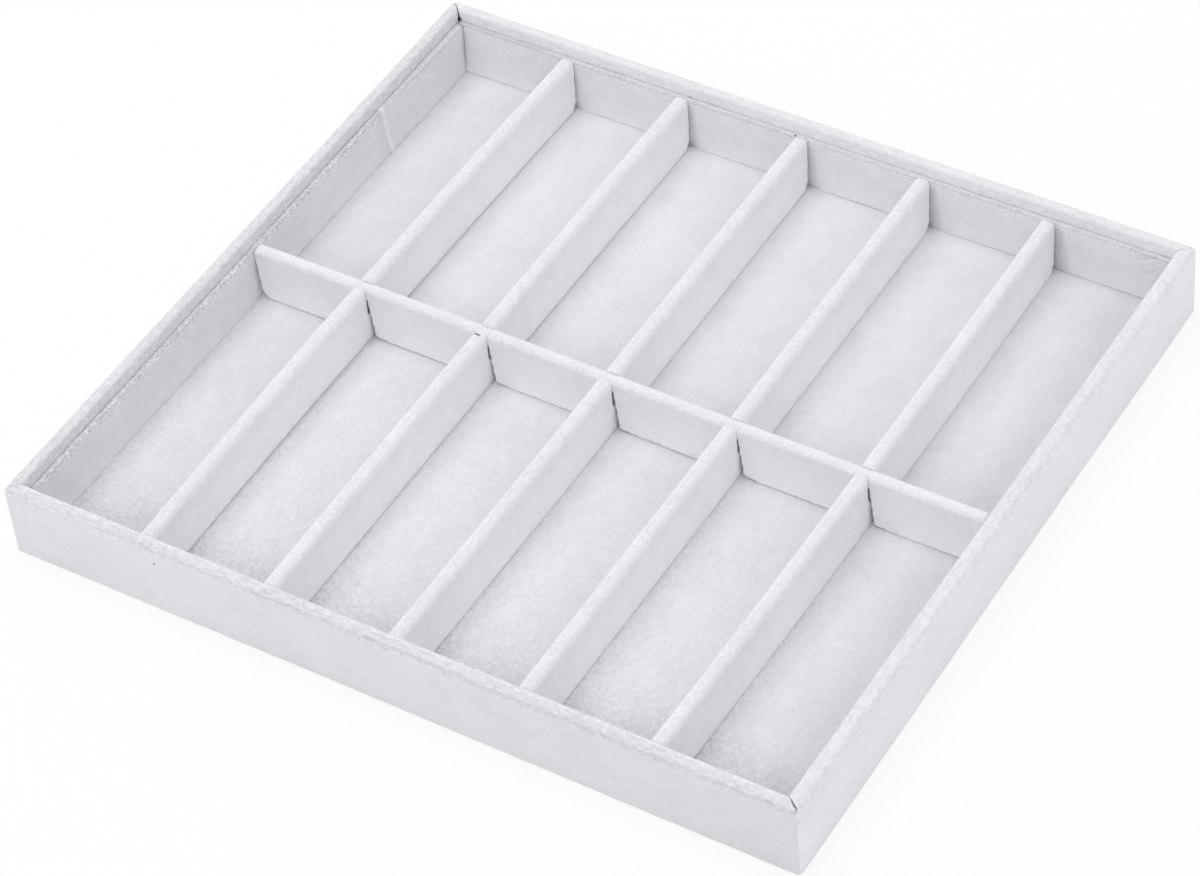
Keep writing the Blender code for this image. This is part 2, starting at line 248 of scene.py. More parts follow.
def sheet_mesh(name, pile, back, **looks):
    """A closed sheet between two grids of points of one shape: its pile and its glued back."""
    rows, columns = pile.shape[:2]
    shape = bmesh.new()
    front = [[shape.verts.new(pile[i, j]) for j in range(columns)] for i in range(rows)]
    rear = [[shape.verts.new(back[i, j]) for j in range(columns)] for i in range(rows)]
    for i, j in itertools.product(range(rows - 1), range(columns - 1)):
        shape.faces.new((front[i][j], front[i][j + 1], front[i + 1][j + 1], front[i + 1][j]))
        shape.faces.new((rear[i][j], rear[i + 1][j], rear[i + 1][j + 1], rear[i][j + 1]))
    edge = [(0, j) for j in range(columns)] + [(i, columns - 1) for i in range(1, rows)]
    edge += [(rows - 1, j) for j in range(columns - 2, -1, -1)] + [(i, 0) for i in range(rows - 2, 0, -1)]
    for (a, b), (c, d) in zip(edge, edge[1:] + edge[:1]):
        shape.faces.new((front[a][b], rear[a][b], rear[c][d], front[c][d]))
    bmesh.ops.recalc_face_normals(shape, faces=shape.faces)
    mesh = bpy.data.meshes.new(name)
    shape.to_mesh(mesh)
    shape.free()
    covered = {key: np.concatenate((value.ravel(), value.ravel() * 0)) for key, value in looks.items()}
    give_looks(mesh, **covered)
    return mesh


def straight(start, end, normal, step):
    """Points of a section from start up to end, each as inward, up, and the normal's inward and up."""
    count = max(1, round(math.dist(start, end) / step))
    rows = []
    for k in range(count):
        share = k / count
        place = [a + (b - a) * share for a, b in zip(start, end)]
        rows.append((*place, *normal))
    return rows


def bend(centre, radius, start, end, step):
    """Points of a section round a bend, with angles in degrees from inward towards up."""
    count = max(4, round(radius * math.radians(abs(end - start)) / step))
    rows = []
    for k in range(count):
        angle = math.radians(start + (end - start) * k / count)
        normal = (math.cos(angle), math.sin(angle))
        rows.append((centre[0] + radius * normal[0], centre[1] + radius * normal[1], *normal))
    return rows


def wall_section(thickness):
    """A wall velvet's pile surface: under the foot, up the outside, over a rim this thick and down inside."""
    foot, rim = FOOT_RADIUS, TOP - RIM_OUTER_RADIUS
    rows = straight((TURN_IN, 0), (foot, 0), (0, -1), STEP)
    rows += bend((foot, foot), foot, 270, 180, FINE_STEP)
    rows += straight((0, foot), (0, rim - 0.0060), (-1, 0), STEP)
    rows += straight((0, rim - 0.0060), (0, rim), (-1, 0), FINE_STEP)
    rows += bend((RIM_OUTER_RADIUS, rim), RIM_OUTER_RADIUS, 180, 90, FINE_STEP)
    centre = (thickness - RIM_INNER_RADIUS, TOP - RIM_INNER_RADIUS)
    rows += straight((RIM_OUTER_RADIUS, TOP), (centre[0], TOP), (0, 1), FINE_STEP)
    slope = math.atan2(WALL_THICKNESS - thickness, centre[1] - RIM_SLOPE_FOOT)
    rows += bend(centre, RIM_INNER_RADIUS, 90, math.degrees(slope), FINE_STEP / 2)
    slope_top = [c + RIM_INNER_RADIUS * n for c, n in zip(centre, (math.cos(slope), math.sin(slope)))]
    rows += straight(slope_top, (WALL_THICKNESS, RIM_SLOPE_FOOT), (math.cos(slope), math.sin(slope)), FINE_STEP)
    rows += straight((WALL_THICKNESS, RIM_SLOPE_FOOT), (WALL_THICKNESS, INNER_LEG_FOOT), (1, 0), STEP)
    return np.array(rows + [(WALL_THICKNESS, INNER_LEG_FOOT, 1, 0)])


def wall_places(half):
    """Along a wall: each place's start, and its share of the way from there to the mitre."""
    middle = half - CORNER_REACH
    count = 2 * round(middle / STEP)
    shares = 1 - (1 - np.arange(1, CORNER_STEPS + 1) / CORNER_STEPS) ** 1.6
    start = np.concatenate((np.full(CORNER_STEPS, -middle), np.linspace(-middle, middle, count + 1)))
    start = np.concatenate((start, np.full(CORNER_STEPS, middle)))
    share = np.concatenate((-shares[::-1], np.zeros(count + 1), shares))
    return start, share


def wall_points(inward, up, start, share, half, slit):
    """Points of a wall whose outer upright corners are round, each end stopping short of its mitre by the slit."""
    radius = np.maximum(CORNER_RADIUS - inward, 0)
    flat = CORNER_REACH - np.maximum(inward, CORNER_RADIUS)
    length = flat + radius * math.pi / 4 - slit
    gone = np.abs(share) * length
    angle = np.where(radius > 0, np.maximum(gone - flat, 0) / np.maximum(radius, 1e-9), 0)
    along = np.abs(start) + np.where(share == 0, 0, np.minimum(gone, flat)) + radius * np.sin(angle)
    depth = inward + radius * (1 - np.cos(angle))
    x = np.where(share == 0, start, np.sign(share) * along)
    return np.stack((x, depth, up), axis=-1)


def spread_feet(mesh):
    """Moves the points of a wall out where its foot spreads."""
    points = points_of(mesh)
    x, y, z = points.T
    lean = np.clip(1 - z / TOP, 0, 1)
    amount = lean * ramp(x, -0.05, 0.17) * ramp(-y, -0.05, 0.17)
    points[:, 0] += SPREAD[0] * amount
    points[:, 1] -= SPREAD[1] * amount
    mesh.vertices.foreach_set("co", points.ravel())
    mesh.update()


def fold_line(x, half, side):
    """How far past the start of the rim's outer bend the slack fold runs."""
    wander = 0.0005 * value_noise(np.stack((x, x * 0, x * 0), axis=-1), 0.016, 41 + len(side))
    return FOLD[side][0] + wander + 0.0002 * np.sin(x / half * 7)


def ramp(value, low, high):
    """0 at low and 1 at high, smooth between them and level beyond."""
    share = np.clip((value - low) / (high - low), 0, 1)
    return share * share * (3 - 2 * share)


def build_wall(side, degrees, corner):
    """One wall's velvet, with the rim's fold and the slits at its mitres."""
    half, reach = (HALF_WIDTH, HALF_DEPTH) if side in ("front", "rear") else (HALF_DEPTH, HALF_WIDTH)
    thickness = RIM_THICKNESS[side]
    section = wall_section(thickness)
    start, share = wall_places(half)
    inward, up, lean, rise = (section[:, k, None] for k in range(4))
    run = np.concatenate(([0], np.cumsum(np.linalg.norm(np.diff(section[:, :2], axis=0), axis=1))))
    bend_start = run[np.argmax(section[:, 1] >= TOP - RIM_OUTER_RADIUS - 1e-6)]
    run = (run - bend_start)[:, None]

    # The slits are open on the rim and part of the way down inside, and close down the outside corner
    on_rim = ramp(run, 0.0006, 0.0024) * ramp(up, TOP - 0.0055, TOP - 0.0040) + np.zeros_like(start)
    depth = np.clip(inward / thickness, 0, 1)
    before, after = MITRE_SLITS[corner], MITRE_SLITS[(corner + 1) % 4]
    slit_before = before[1] + (before[0] - before[1]) * depth + before[2] * (1 - depth)
    slit_after = after[1] + (after[0] - after[1]) * depth - after[2] * (1 - depth)
    slit = on_rim * np.where(share < 0, slit_before, slit_after)
    gape = bell(up - (TOP - 0.0052), 0.0013) * (depth > 0.9) * np.where(share < 0, before[3], after[3])
    slit = 0.00003 + (slit + gape) * math.sqrt(2)

    rough = wall_points(inward + 0 * start, up + 0 * start, start, share, half, slit)
    world = rough @ np.array(turned(degrees).to_3x3()).T
    along = rough[..., 0]
    height = pile_unevenness(world, 11)
    fold = run - fold_line(along, half, side)
    height -= FOLD[side][1] * 0.00014 * bell(fold, 0.0007)
    height += FOLD[side][1] * (0.00008 * bell(fold + 0.0016, 0.0009) + 0.00005 * bell(fold - 0.0014, 0.0008))

    # The cut ends of the pile are rounded, more on the rim than down the corner
    to_end = (1 - np.abs(share)) * CORNER_REACH
    height -= (0.00008 + 0.00030 * on_rim) * bell(to_end, 0.0006)
    height = np.minimum(height, np.where(up > 0.0001, 0.0004, 0.0))

    # Painted light and shade along the section, the front rim's inner edge painted lighter as a highlight line
    outside, rim, inside = WALL_PAINTED_LIGHT[side]
    bend_end = run[np.argmax(section[:, 0] >= thickness - RIM_INNER_RADIUS - 1e-6), 0]
    knots = (-0.0080, -0.0020, 0.0, 0.0030, bend_end - 0.0014, bend_end, bend_end + 0.0008, bend_end + 0.0020)
    edge = {"front": rim * 0.2, "left": (rim + inside) / 2}.get(side, rim)
    beside = outside + OUTER_BEND_PAINTED_LIGHT[side]
    nap = np.interp(run, knots, (outside, beside, beside, rim, rim, edge, edge, inside)) + 0 * along
    # Where painted shade strokes may lie along the rim's fold
    fold_shade_reach = FOLD[side][1] * ramp(run, -0.0016, 0.0) * ramp(run, bend_end, bend_end - 0.0012) + 0 * along
    # Painted shade on the front and right walls' outsides, darker towards one end
    if side == "front":
        fold_shade_reach = fold_shade_reach * ramp(along, -0.210, -0.040)
        nap -= (0.02 * along / half + 0.03 * ramp(along, 0.080, 0.170)) * ramp(run, 0.0040, 0.0)
    if side == "right":
        nap -= 0.05 * ramp(-along, 0.060, 0.160) * ramp(run, 0.0030, 0.0) * ramp(run, -0.0110, -0.0050)
    brushed = 0.1 + RIM_FRAY[side] * ramp(run, -0.0030, 0.0024 if side == "front" else 0.0010) * ramp(run, bend_end + 0.0090, bend_end + 0.0045)

    pile = wall_points(inward + lean * height, up + rise * height, start, share, half, slit)
    back_in, back_up = inward - lean * VELVET, up - rise * VELVET
    back_in = np.where(lean > 0.5, np.maximum(back_in, BOARD_INNER + 0.00005), back_in)
    back = wall_points(back_in + 0 * start, back_up + 0 * start, start, share, half, slit)
    looks = {"nap": nap, "brushed": brushed + 0 * along, "fold": fold, "fold_shade_reach": fold_shade_reach}
    mesh = sheet_mesh(side + "_wall_pile", pile, back, **looks)
    mesh.transform(turned(degrees) @ Matrix.Translation((0, -reach, 0)))
    spread_feet(mesh)
    material = wall_velvet_along_x if side in ("front", "rear") else wall_velvet_along_y
    new_piece(side + "_wall_pile", mesh, "tray", "wall_velvet", material, side + "_wall_velvet")


def liner_section():
    """A liner velvet's pile surface: over the card's top edge, down its face and curled in at the foot."""
    bend_in, bend_up = LINER_FACE - LINER_EDGE_RADIUS, LINER_TOP - LINER_EDGE_RADIUS
    foot_in, foot_up = LINER_FACE - LINER_FOOT_RADIUS, LINER_FOOT + LINER_FOOT_RADIUS
    rows = straight((LINER_BACK, LINER_TOP), (bend_in, LINER_TOP), (0, 1), FINE_STEP / 2)
    rows += bend((bend_in, bend_up), LINER_EDGE_RADIUS, 90, 0, FINE_STEP / 2)
    rows += straight((LINER_FACE, bend_up), (LINER_FACE, bend_up - 0.0025), (1, 0), FINE_STEP / 2)
    rows += straight((LINER_FACE, bend_up - 0.0025), (LINER_FACE, 0.0120), (1, 0), STEP)
    rows += straight((LINER_FACE, 0.0120), (LINER_FACE, foot_up), (1, 0), FINE_STEP * 2)
    rows += bend((foot_in, foot_up), LINER_FOOT_RADIUS, 0, -90, FINE_STEP / 2)
    return np.array(rows + [(foot_in, LINER_FOOT, 0, -1)])


def liner_crease(world):
    """The crease in the left liner, where the velvet was once folded: its height, a painted shade line beside it, and a
    painted highlight on it with painted shade further aside.
    """
    top_y, foot_y = 0.1027, 0.1055
    line = foot_y + (top_y - foot_y) * (world[..., 2] - LINER_FOOT) / (LINER_TOP - LINER_FOOT)
    across = world[..., 1] - line
    on_left = world[..., 0] < -HALF_WIDTH / 2
    height = on_left * (0.00034 * bell(across, 0.0008) - 0.00016 * bell(across + 0.0019, 0.0012))
    pale = on_left * (0.17 * bell(across, 0.0010) - 0.05 * bell(across + 0.0040, 0.0025))
    return height, on_left * 0.15 * bell(across + 0.0018, 0.0006), pale


def gathers(world):
    """Fine folds fanned out from the rear liner's right upper corner: their height."""
    away = np.stack((HALF_WIDTH - LINER_FACE - world[..., 0], LINER_TOP - world[..., 2]), axis=-1)
    distance = np.linalg.norm(away, axis=-1)
    angle = np.arctan2(away[..., 1], away[..., 0] + 0.0005) + 0.12 * value_noise(world, 0.0040, 67)
    shown = ramp(distance, 0.0020, 0.0060) * ramp(distance, 0.0230, 0.0100)
    on_rear = (world[..., 1] > HALF_DEPTH / 2) & (world[..., 0] > HALF_WIDTH / 2)
    return on_rear * shown * np.sin(22 * angle)


def pressed(world):
    """How much painted shadow darkens the rear liner beside each cross divider's end, wider towards the foot, with
    painted shade in the corner at the foot.
    """
    shade = np.zeros(world.shape[:-1])
    drop = np.clip((LINER_TOP - world[..., 2]) / (LINER_TOP - LINER_FOOT), 0, 1)
    for place, (reach_top, reach_foot, depth) in zip(cross_places, PAINTED_END_SHADOWS):
        away = world[..., 0] - place - cross_thick
        reach = reach_top + (reach_foot - reach_top) * drop
        shade = np.maximum(shade, depth * (away > -cross_thick) * ramp(away, reach, reach * 0.1))
        shade = shade + 0.22 * bell(away + 0.0006, 0.0013) * ramp(drop, 0.84, 0.94)
    return np.minimum(shade * ramp(drop, 0.03, 0.16), 0.7) * (world[..., 1] > HALF_DEPTH / 2)


def standing_off(side, world):
    """How far a liner's pile stands in from the frame's: bellied at the foot, and leaning in at one end."""
    x, y, z = (world[..., axis] for axis in range(3))
    at_foot = np.exp(-np.maximum(z - LINER_FOOT, 0) / 0.0042)
    if side == "rear":
        belly = np.interp(x, (-0.175, -0.115, -0.050, 0.012, 0.075, 0.135, 0.175), (19, 15, 14, 11, 9, 4, 3))
        clear = sum(bell(x - place, 0.0070) for place in cross_places)
        return belly * 0.0001 * at_foot * (1 - 0.85 * np.clip(clear, 0, 1))
    if side == "left":
        lean = ramp(y, 0.1030, 0.1690) * np.interp(z, (LINER_FOOT, LINER_TOP), (0.0006, 0.0013))
        return 0.0008 * at_foot * (1 - 0.85 * bell(y, 0.0080)) + lean
    return 0.0002 * at_foot


def build_liner(side, degrees):
    """The inner velvet of one wall, with its soft upper edge standing off the rim."""
    reach = HALF_DEPTH if side in ("front", "rear") else HALF_WIDTH
    half = LINER[1].x if side in ("front", "rear") else SIDE_LINER[1].y
    section = liner_section()
    inward, up, lean, rise = (section[:, k, None] for k in range(4))
    x = np.linspace(-half, half, 2 * round(half / LINER_STEP) + 1)
    inward, up = inward + 0 * x, up + 0 * x
    rough = np.stack((x + 0 * inward, inward - reach, up), axis=-1)
    world = rough @ np.array(turned(degrees).to_3x3()).T
    crease, painted_hollow_shade, pale = liner_crease(world)
    folds = gathers(world)
    height = pile_unevenness(world, 53) + crease + 0.00016 * folds
    edge = bell(up - LINER_TOP, 0.0022)
    height += edge * 0.00010 * value_noise(world, 0.0030, 59)

    # A fine groove under the edge comes and goes where the velvet is drawn over the card
    face = ramp(inward, LINER_BACK + 0.0010, LINER_FACE)
    often = 0.85 * ramp(world[..., 0], -0.165, -0.115) if side == "rear" else 0.45
    coming = np.clip(often + 1.1 * value_noise(world * (1, 1, 0), 0.0120, 61), 0, 1)
    if side == "rear":
        coming = coming * ramp(world[..., 0], -0.150, -0.125)
    kept_smooth = ramp(world[..., 1], 0.135, 0.075) if side == "left" else ramp(world[..., 0], -0.165, -0.115)
    groove = bell(up - (LINER_TOP - 0.0016), 0.00032) * coming * face
    height -= 0.00022 * groove
    height += 0.00012 * bell(up - (LINER_TOP - 0.0025), 0.0004) * coming * face
    # Painted shade in the groove and in the troughs of the gathers
    painted_hollow_shade = painted_hollow_shade + 0.45 * groove + 0.25 * np.maximum(-folds, 0)
    height = np.clip(height, -0.0004, 0.0004)

    # Painted light and shade up the liner, painted highlight and shade at the crease, painted shadow beside the
    # dividers' ends, and the rear edge painted darker at the left
    foot, middle, top = LINER_PAINTED_LIGHT[side]
    edge_start = LINER_TOP - 0.0014
    nap = np.interp(up, (LINER_FOOT, 0.0180, edge_start, edge_start + 0.0009), (foot, middle, middle, top))
    nap = nap + pale - pressed(world)
    if side == "rear":
        nap = nap - 0.09 * ramp(world[..., 0], -0.126, -0.148) * bell(up - LINER_TOP + 0.0003, 0.0009)
    brushed = 0.1 + LINER_FRAY[side] * ramp(up, LINER_TOP - 0.0065, LINER_TOP - 0.0010) * (0.3 + 0.7 * kept_smooth)
    brushed = brushed + LINER_ROUGH[side] * ramp(up, 0.0195, 0.0250)
    # Painted shade at the liner's ends, in the corners, reaching wider at the rear left
    at_rear_left = (world[..., 0] < 0) & (world[..., 1] > 0)
    painted_hollow_shade = painted_hollow_shade + 0.9 * bell(half - np.abs(x), 0.0009 + 0.0008 * at_rear_left * ramp(up, LINER_TOP, 0.0150))
    frayed = LINER_STRAYS[side] * bell(up - LINER_TOP + 0.0006, 0.0010) * face * kept_smooth
    # The back edge stays against the wall, and the rest stands off
    stand = standing_off(side, world) * ramp(inward, LINER_BACK, LINER_FACE - 0.0006)
    tufted = 0.00022 * np.clip(0.3 + 1.4 * value_noise(world * (1, 1, 0), 0.0016, 73), 0, 1)
    stand = stand - tufted * ramp(inward, LINER_BACK + 0.0006, LINER_BACK)
    pile = np.stack((x + 0 * inward, inward + lean * height + stand - reach, up + rise * height), axis=-1)
    back_in = np.maximum(inward - lean * VELVET, LINER_BACK + 0.0001)
    back = np.stack((x + 0 * inward, back_in + np.maximum(stand, 0) - reach, up - rise * VELVET), axis=-1)
    looks = {"nap": nap, "brushed": brushed, "painted_hollow_shade": painted_hollow_shade, "frayed": frayed}
    mesh = sheet_mesh(side + "_liner_pile", pile, back, **looks)
    mesh.transform(turned(degrees))
    new_piece(side + "_liner_pile", mesh, "tray", "liner_velvet", liner_velvet, side + "_liner_velvet")


def floor_looks(x, y):
    """The floor's pile: rubbed rough in the front row, with painted light and shade near the walls and the dividers'
    feet.
    """
    rough = np.interp(y, (-0.147, -0.125, -0.020, 0.020, 0.060), (1.7, 0.65, 0.35, 0.3, 0.0))
    nap = np.interp(y, *zip(*FLOOR_PAINTED_LIGHT_ALONG))
    feet = [LINER_FACE - HALF_WIDTH] + [place + cross_thick for place in cross_places]
    for foot, extra in zip(feet, (-0.015, 0, 0, 0, 0, -0.015)):
        inside = (x >= foot) & (x < foot + 0.0624)
        nap = nap + inside * (extra + np.interp(x - foot, *zip(*FLOOR_PAINTED_LIGHT_ACROSS)))
        reach = np.maximum(ramp(y, 0.030, -0.060), 0.9 * (foot == feet[0]))
        rough = rough + inside * 1.3 * ramp(x - foot, 0.0050, 0.0) * reach
    # Painted shade along the right wall, and in the corners where the cross dividers' ends meet the rear liner
    nap -= 0.06 * ramp(x, 0.1500, 0.1680)
    for place in cross_places:
        corner = (x - place - cross_thick + 0.0006, y - HALF_DEPTH + LINER_FACE + 0.0006)
        nap -= 0.22 * bell(np.hypot(*corner), 0.0020)
    return {"nap": nap, "brushed": rough + 0 * x}


def flat_sheet(name, box, step, seed, facing):
    """A flat sheet that fills this box, with its pile facing up (1) or down (-1)."""
    low, high = box
    counts = [round((high[axis] - low[axis]) / step) + 1 for axis in (0, 1)]
    x, y = np.meshgrid(*(np.linspace(low[axis], high[axis], counts[axis]) for axis in (0, 1)))
    surface, glued = (high.z, low.z) if facing > 0 else (low.z, high.z)
    points = np.stack((x, y, np.full_like(x, surface)), axis=-1)
    height = pile_unevenness(points, seed)
    if facing < 0:
        height = np.minimum(height, 0)
    points[..., 2] += facing * height
    back = np.stack((x, y, np.full_like(x, glued)), axis=-1)
    return sheet_mesh(name, points, back, **(floor_looks(x, y) if facing > 0 else {}))


def arc(centre, radius, start, end, steps=8):
    """Points on an arc from start to end, in degrees, with both ends."""
    points = []
    for step in range(steps + 1):
        angle = math.radians(start + (end - start) * step / steps)
        points.append((centre[0] + radius * math.cos(angle), centre[1] + radius * math.sin(angle)))
    return points


def mirrored(points):
    return [(-x, y) for x, y in reversed(points)]


def prism(name, outline, length, axes):
    """A solid with this outline in two directions, reaching half the length each way along the third."""
    shape = bmesh.new()
    face = shape.faces.new([shape.verts.new((x, y, -length / 2)) for x, y in outline])
    carried = bmesh.ops.extrude_face_region(shape, geom=[face])["geom"]
    verts = [item for item in carried if isinstance(item, bmesh.types.BMVert)]
    bmesh.ops.translate(shape, vec=(0, 0, length), verts=verts)
    bmesh.ops.transform(shape, matrix=axes, verts=shape.verts)
    bmesh.ops.recalc_face_normals(shape, faces=shape.faces)
    mesh = bpy.data.meshes.new(name)
    shape.to_mesh(mesh)
    shape.free()
    draft = bpy.data.objects.new(name, mesh)
    bpy.context.scene.collection.objects.link(draft)
    return draft


# An outline's two directions and its length, turned onto a divider that lies along X
ACROSS = Matrix(((0, 0, 1, 0), (1, 0, 0, 0), (0, 1, 0, 0), (0, 0, 0, 1)))
ALONG = Matrix(((1, 0, 0, 0), (0, 0, 1, 0), (0, 1, 0, 0), (0, 0, 0, 1)))


def with_boolean(draft, operation, tool):
    modifier = draft.modifiers.new(operation, "BOOLEAN")
    modifier.operation = operation
    modifier.solver = "MANIFOLD"
    modifier.object = tool


def evaluated_mesh(draft):
    graph = bpy.context.evaluated_depsgraph_get()
    return bpy.data.meshes.new_from_object(draft.evaluated_get(graph))


def discard(*drafts):
    for draft in drafts:
        mesh = draft.data
        bpy.data.objects.remove(draft)
        bpy.data.meshes.remove(mesh)


@dataclasses.dataclass
class Divider:
    """A divider as the frame has it: half its length and thickness, its heights and its halving slots."""

    half: float
    thick: float
    foot: float
    top: float
    slots: tuple
    slot_half: float
    slot_level: float
    from_above: bool
    along_x: bool
    place: float
    bend: np.ndarray


def end_profile(half, crest, radius, reach):
    """A divider's right end seen from the side, from below the foot up to the top."""
    foot_end = half - FOOT_RAKE - FOOT_CUT[0]
    lower = [(foot_end, DIVIDER_FOOT - 0.002), (foot_end, DIVIDER_FOOT + 0.0004)]
    lower += [(half - FOOT_RAKE, DIVIDER_FOOT + FOOT_CUT[1]), (half - FOOT_RAKE / 3, crest - 0.0110)]
    end = half + reach
    return lower + [(end, crest - 0.0045)] + arc((end - radius, crest - radius), radius, 0, 90)


def elevation(divider, shrink, soft):
    """A divider seen from the side, smaller all round by shrink; a soft one has eased ends and slots."""
    crest = divider.top - shrink + 0.0002
    half, wide = divider.half - shrink, divider.slot_half + shrink
    below = DIVIDER_FOOT - 0.002
    right_end = end_profile(half, crest, max(END_ROUND - shrink, 0.0002), NOSE_REACH if soft else 0)
    if not divider.from_above:
        level, upper, lower = divider.slot_level + shrink, wide, wide
        if soft:
            level, upper = divider.top - SLIT_DROP, wide - SLOT_CLEARANCE + MOUTH_CLEARANCE
            lower = wide + SLOT_SPREAD
        # The foot rises a little towards each slot
        beyond = lower + FOOT_RISE_REACH
        slot = [(upper, level), (lower, divider.foot + FOOT_RISE), (beyond, divider.foot), (beyond, below)]
        if not soft:
            slot = [(wide, level), (wide, below)]
        outline = right_end + mirrored(right_end)
        for place in divider.slots:
            outline += [(place - x, z) for x, z in reversed(slot)] + [(place + x, z) for x, z in slot]
        return outline
    level, centre = divider.slot_level - shrink, divider.slots[0]
    side = [(wide, crest), (wide, level)]
    if soft:
        # The lips of the slot lap over the shoulders of the divider that lies in it
        shoulder = (wide - SLOT_CLEARANCE - RIDGE_RADIUS, LONG[1].z - RIDGE_RADIUS)
        lap = arc(shoulder, RIDGE_RADIUS + MOUTH_CLEARANCE, LAP_ANGLE, 0)
        lip = arc((lap[0][0] + MOUTH_ROUND, crest - MOUTH_ROUND), MOUTH_ROUND, 90, 180)
        side = lip + lap + [(lap[-1][0], level)]
    left_side = [(centre - x, z) for x, z in reversed(side)]
    right_side = [(centre + x, z) for x, z in side]
    return right_end + right_side + left_side + mirrored(right_end)


def plan_outline(half, thick):
    """A divider's plan, with rounded ends."""
    radius = END_PLAN_ROUND
    corner = arc((half - radius, thick - radius), radius, 0, 90)
    upper = corner + mirrored(corner)
    return upper + [(-x, -y) for x, y in upper]


def divider_mesh(name, divider, shrink, soft):
    """A divider's form, along X and unbent. The soft form is rounded off as a whole."""
    thick, half, crown = divider.thick - shrink, divider.half - shrink, divider.top - shrink
    radius = max(RIDGE_RADIUS - shrink, 0.0002)
    ridge = arc((thick - radius, crown - radius), radius, 0, 90)
    section = [(thick, divider.foot)] + ridge + mirrored(ridge) + [(-thick, divider.foot)]
    body = prism(name, section, 2 * half + 0.004, ACROSS)
    trim = prism(name + "_elevation", elevation(divider, shrink, soft), 4 * thick, ALONG)
    with_boolean(body, "INTERSECT", trim)
    drafts = [body, trim]
    if soft:
        plan = prism(name + "_plan", plan_outline(half + NOSE_REACH, thick + 0.00002), 4 * TOP, Matrix())
        with_boolean(body, "INTERSECT", plan)
        drafts.append(plan)
        remesh = body.modifiers.new("remesh", "REMESH")
        remesh.mode = "VOXEL"
        remesh.voxel_size = SLEEVE_VOXEL
        soften = body.modifiers.new("soften", "SMOOTH")
        soften.factor = 0.5
        soften.iterations = SLEEVE_SMOOTHING
    mesh = evaluated_mesh(body)
    discard(*drafts)
    if not soft:
        cut_along(mesh, half)
    bend_mesh(mesh, divider)
    return mesh


def cut_along(mesh, half):
    """Adds edges across a divider every little way, so that it can bend."""
    shape = bmesh.new()
    shape.from_mesh(mesh)
    for place in np.arange(-half + BEND_STEP / 2, half, BEND_STEP):
        everything = shape.verts[:] + shape.edges[:] + shape.faces[:]
        bmesh.ops.bisect_plane(shape, geom=everything, plane_co=(place, 0, 0), plane_no=(1, 0, 0), dist=1e-7)
    bmesh.ops.triangulate(shape, faces=shape.faces)
    shape.to_mesh(mesh)
    shape.free()


def points_of(mesh):
    points = np.zeros(len(mesh.vertices) * 3)
    mesh.vertices.foreach_get("co", points)
    return points.reshape(-1, 3)


def bend_mesh(mesh, divider):
    """Turns a divider into its place and bends it aside."""
    if not divider.along_x:
        mesh.transform(turned(90))
    points = points_of(mesh)
    along, across = (0, 1) if divider.along_x else (1, 0)
    points[:, across] += divider.place + np.polyval(divider.bend, points[:, along])
    mesh.vertices.foreach_set("co", points.ravel())
    mesh.update()


def build_divider(label, divider, seed):
    """A divider's velvet, with uneven pile and hollow inside, and the board that it covers."""
    sleeve_name = label[0] + "_divider_sleeve" + label[1]
    mesh = divider_mesh(sleeve_name, divider, 0, True)
    points = points_of(mesh)
    normals = np.zeros(len(points) * 3)
    mesh.vertex_normals.foreach_get("vector", normals)
    points += normals.reshape(-1, 3) * pile_unevenness(points, seed)[:, None]
    mesh.vertices.foreach_set("co", points.ravel())
    sleeve = bpy.data.objects.new(sleeve_name + "_draft", mesh)
    bpy.context.scene.collection.objects.link(sleeve)
    inside = dataclasses.replace(divider, foot=divider.foot - 0.002)
    hollow = bpy.data.objects.new("hollow", divider_mesh(sleeve_name + "_hollow", inside, VELVET, False))
    bpy.context.scene.collection.objects.link(hollow)
    with_boolean(sleeve, "DIFFERENCE", hollow)
    final = evaluated_mesh(sleeve)
    final.name = sleeve_name
    discard(sleeve, hollow)

    points = points_of(final)
    along, across = (0, 1) if divider.along_x else (1, 0)
    aside = points[:, across] - divider.place - np.polyval(divider.bend, points[:, along])
    ridge = ramp(points[:, 2], divider.top - 0.0042, divider.top - 0.0012)
    towards_view = ramp(-aside if divider.along_x else aside, 0, divider.thick)
    # Painted light and shade: the faces towards the front or the right lighter, a painted highlight at the ends, and
    # painted light and shade over the ridges
    lie = np.interp(points[:, 2], *(LONG_FACE_PAINTED_LIGHT if divider.along_x else CROSS_FACE_PAINTED_LIGHT))
    near_end = ramp(np.abs(points[:, along]), divider.half - 0.0016, divider.half - 0.0002)
    near_foot = ramp(points[:, 2], 0.0150, DIVIDER_FOOT) * (2.6 if divider.along_x else 0.4)
    nap = (lie * towards_view + NOSE_PAINTED_LIGHT * near_end) * (1 - ridge)
    facing = -aside if divider.along_x else aside
    round_crown = np.sign(facing) * (np.abs(facing) + np.maximum(divider.top - points[:, 2], 0))
    nap += np.interp(round_crown, *(LONG_RIDGE_PAINTED_LIGHT if divider.along_x else CROSS_RIDGE_PAINTED_LIGHT))
    give_looks(final, nap=nap, brushed=0.1 + 1.05 * ridge + near_foot)
    new_piece(sleeve_name, final, "divider_grid", "divider_velvet", divider_velvet, label[0] + "_divider_velvet" + label[1])
    core_name = label[0] + "_divider_core" + label[1]
    core = divider_mesh(core_name, divider, SKIN, False)
    piece = new_piece(core_name, core, "divider_grid", "grey_card", grey_card, label[0] + "_divider_board" + label[1])
    piece.data.shade_flat()


